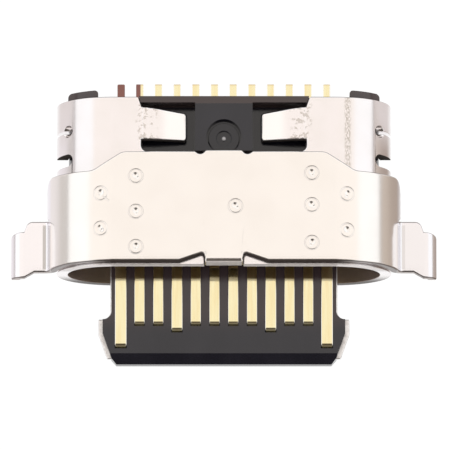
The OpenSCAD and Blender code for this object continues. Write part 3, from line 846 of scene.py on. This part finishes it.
# The right ear is folded out of the wall, drawn along the board and folded down into the leg.
ear_centre = Vector((end_x, 0)) + (wrap_out + ear_bend_r) * Vector((cos(ear_angle), sin(ear_angle)))
leg_out_r = leg_bend_r + bracket_t
leg_bend_x = leg_x - leg_out_r


def on_ear_root(p):
    past = p.x - end_x
    on_plane = abs(p.z * cos(ear_angle) - past * sin(ear_angle)) < 0.002
    return on_plane and past > 1 and p.y < ear_rear + 0.001


pick(bracket, "FACE", on_ear_root)
bpy.ops.mesh.spin(
    steps=16, angle=pi / 2 - ear_angle, center=(ear_centre.x, 0, ear_centre.y), axis=(0, 1, 0))
ear_flat = leg_bend_x - ear_centre.x
for step in (ear_flat / 2, ear_flat / 2 - leg_taper, leg_taper):
    bpy.ops.mesh.extrude_region_move(TRANSFORM_OT_translate={"value": (step, 0, 0)})
narrowing = (leg_rear + leg_lean - bracket_front) / (ear_rear - bracket_front)
bpy.ops.transform.resize(value=(1, narrowing, 1), center_override=(0, bracket_front, 0))
bpy.ops.mesh.spin(
    steps=16, angle=-pi / 2, center=(leg_bend_x, 0, ear_top - leg_out_r), axis=(0, 1, 0))
drop = leg_end - (ear_top - leg_out_r)
bpy.ops.mesh.extrude_region_move(TRANSFORM_OT_translate={"value": (0, 0, drop)})
bpy.ops.object.mode_set(mode="OBJECT")
bend_waste = [
    (leg_rear + leg_lean, ear_top), (leg_rear, ear_top - leg_out_r), (leg_rear, leg_end - beyond),
    (ear_rear + beyond, leg_end - beyond), (ear_rear + beyond, ear_top)]
combine(bracket, "DIFFERENCE", prism(bend_waste, "X", leg_bend_x, leg_x + beyond))
for corner_y in (bracket_front, leg_rear):
    pick(bracket, "EDGE", lambda p: near(p.z, leg_end) and near(p.y, corner_y))
    bpy.ops.mesh.bevel(offset=leg_corner, segments=6)
    bpy.ops.object.mode_set(mode="OBJECT")
pick(bracket, "EDGE", lambda p: near(p.x, leg_bend_x - leg_taper) and near(p.y, ear_rear))
bpy.ops.mesh.bevel(offset=leg_corner, segments=6)
bpy.ops.object.mode_set(mode="OBJECT")


def flare(first_x, share):
    """Draws the ear's front corners forward, from some X outwards."""
    lowest = ear_top - leg_out_r - 0.001
    pick(bracket, "VERT", lambda p: near(p.y, bracket_front) and p.x > first_x - 0.001 and p.z > lowest)
    bpy.ops.transform.translate(value=(0, -share * ear_flare, 0))
    bpy.ops.object.mode_set(mode="OBJECT")


flare(leg_bend_x, 1)
flare(leg_bend_x - leg_taper, 1 - 2 * leg_taper / ear_flat)

# The wrapped front edge is drawn back a little, step by step up the side.
for i in range(draw_steps):
    lowest = ear_top + draw_height * (i + 1)
    pick(bracket, "VERT", lambda p: p.y < bracket_front + front_setback and p.z > lowest)
    bpy.ops.transform.translate(value=(0, front_setback / draw_steps, 0))
    bpy.ops.object.mode_set(mode="OBJECT")


def on_front_edge(p):
    past = max(abs(p.x) - end_x, 0)
    outside = near(Vector((past, p.z)).length, wrap_out) and p.z > ear_top + bracket_t
    in_notch = hook_half - 0.001 < abs(p.x) < notch_out and p.y < bracket_front + notch_depth + 0.01
    return outside and (p.y < bracket_front + front_setback + 0.002 or in_notch)


apply_modifier(bracket, "MIRROR", use_axis=(True, False, False), use_clip=True, merge_threshold=0.001)

# The centre tab is folded down sharply over the rim, into the tube's notch.
hook = block(
    (-hook_half, bracket_front, end_r - shell_wall), (hook_half, hook_back, wrap_out))
pick(hook, "EDGE", lambda p: near(p.y, bracket_front) and near(p.z, wrap_out))
bpy.ops.mesh.bevel(offset=hook_r, segments=8)
bpy.ops.object.mode_set(mode="OBJECT")
combine(bracket, "UNION", hook)
pick(bracket, "FACE", lambda p: near(p.z, wrap_out))
bpy.ops.mesh.dissolve_limited(angle_limit=flat_angle)
bpy.ops.object.mode_set(mode="OBJECT")
round_sheet(bracket, bracket_edge_r, front_edge_r, on_front_edge)

# Cuts across the wrap keep its faces short, so that the weld marks don't spoil its shading.
for i in range(slice_count):
    slice_at(bracket, (0, slice_step * (i + 1), 0), (0, 1, 0))

# Eleven spot welds, each a fine ring pressed into the sheet round two small burnt pits, which the finish
# darkens with burn and painted shade. One has a scratch.
weld_ring_r = 0.185
weld_line_r = 0.022
pit_r = 0.14
pit_depth = 0.028
ring_lift = 0.004
pits = ((1.7, 1.0, 0.025), (-1.3, 0.6, 0.06))
weld_columns = {
    -2.34: (0.44, 1.39, 2.35), 2.34: (0.55, 1.57, 2.43),
    -3.28: (0.94, 1.89), 3.28: (0.89, 1.87), 0.31: (1.54,)}
scratch_from = Vector((-3.22, 1.80, 1.818))
scratch_to = Vector((-3.05, 1.68, 1.841))
for column, rows in weld_columns.items():
    side = 1 if column > 0 else -1
    past = max(abs(column) - end_x, 0)
    lean = asin(past / wrap_out) * side
    out = Vector((sin(lean), 0, cos(lean)))
    for row_y in rows:
        foot = Vector((column - past * side, row_y, 0)) + wrap_out * out
        ring = primitive(
            "torus", major_segments=48, minor_segments=12, major_radius=weld_ring_r,
            minor_radius=weld_line_r, location=foot + ring_lift * out, rotation=(0, lean, 0))
        combine(bracket, "DIFFERENCE", ring)
        for turn, share, offset in pits:
            weld_turn = turn + 0.6 * sin(9 * row_y)
            aside = Vector((cos(weld_turn), sin(weld_turn), 0)) * offset
            pit = primitive(
                "uv_sphere", segments=24, ring_count=12, radius=share * pit_r,
                location=foot + aside + share * (pit_r - pit_depth) * out)
            combine(bracket, "DIFFERENCE", pit)
along = scratch_to - scratch_from
scratch = primitive(
    "cylinder", vertices=24, radius=weld_line_r, depth=along.length,
    location=(scratch_from + scratch_to) / 2, rotation=along.to_track_quat("Z", "Y").to_euler())
combine(bracket, "DIFFERENCE", scratch)

satin_cream = (0.965, 0.935, 0.905, 1)
satin_grey = (0.945, 0.91, 0.875, 1)
cut_shade_and_burn = (0.30, 0.27, 0.26, 1)
front_edge_shade = (0.045, 0.036, 0.033, 1)
front_face_light = (0.80, 0.76, 0.74, 1)
ear_x = (4.60, 4.65)
ear_white = (0.965, 0.942, 0.968, 1)
shaded_ear_grey = (0.910, 0.895, 0.920, 1)
ear_end_y = (1.40, 1.44)
fold_x = 4.79
fold_half = (0.03, 0.06)
fold_top_z = (0.40, 0.44)
fold_start_y = (0.06, 0.12)
fold_end_y = (1.25, 1.32)
fold_shade = (0.58, 0.56, 0.55, 1)
front_shade_end_y = (0.25, 0.35)
front_shade_side_x = (2.9, 3.7)
weld_slope = 0.53
weld_end_y = (4.0, 4.1)
weld_fade = 0.7
right_fold_fade = 0.6
side_shade_fade = 0.75
pale_share = 0.7
satin, place = start_finish("satin_nickel")
x, y, z = satin.axes(place)
from_centre = x.absolute()
on_right = x.within(-1, 1)
cloud = satin.noise(place, 0.9, 3.0)
pore = satin.noise(place, 21.0, 3.0, 0.6)
forward = 0 - satin.axes(satin.node("TexCoord", output="Normal"))[1]
end_on = forward.absolute()
on_ear = from_centre.within(*ear_x)
on_hook = 1 - from_centre.within(hook_half, hook_half + 0.02)
on_hook = on_hook * (1 - y.within(hook_back, hook_back + 0.02))
# Cut faces and the ears' end faces are darker: painted shade on the edges, painted shade with burn in the
# weld rings and pits.
cut = (1 - off_sheet(satin, place).absolute().within(0.72, 0.97)) * (1 - on_ear) * (1 - on_hook)
cut = cut.larger(on_ear * end_on.within(0.15, 0.5) * (1 - y.within(*ear_end_y)))
welded = 1 - (y + weld_slope * from_centre).within(*weld_end_y)
welded = welded * y.within(0.2, 0.25) * z.within(1.0, 1.1)
skin = satin.blend(cloud.within(0.3, 0.75), satin_cream, satin_grey)
# Painted shade: the right ear is greyer than the left.
skin = satin.blend(on_ear, skin, satin.blend(on_right, ear_white, shaded_ear_grey))
skin = satin.blend(cut * (1 - weld_fade * welded), skin, cut_shade_and_burn)
# Painted shade along each ear's fold near the tube, fainter on the right.
fold = (1 - (from_centre - fold_x).absolute().within(*fold_half)) * (1 - z.within(*fold_top_z))
fold = fold * (1 - y.within(*fold_end_y)) * y.within(*fold_start_y)
skin = satin.blend(fold * (1 - right_fold_fade * on_right), skin, fold_shade)
# Painted shade: cut faces at the front edge are matt and almost black, less so at the sides.
shaded_front = cut * (1 - y.within(*front_shade_end_y)) * (1 - on_ear)
shaded_front = shaded_front * (1 - side_shade_fade * from_centre.within(*front_shade_side_x))
# Painted light: the hook's and ears' front faces are matt pale grey.
pale_front = pale_share * on_hook.larger(on_ear) * forward.within(0.85, 0.97)
bracket_finish = finish_of(
    skin, roughness=0.17 + 0.06 * cloud + 0.3 * cut * welded, metallic=1.0, bump=pore, depth=0.8e-6,
    painted_matt=shaded_front.larger(pale_front), painted_matt_colour=satin.blend(pale_front, front_edge_shade, front_face_light))
hand_over(bracket, bracket_finish, "bracket_steel", "mounting_bracket")
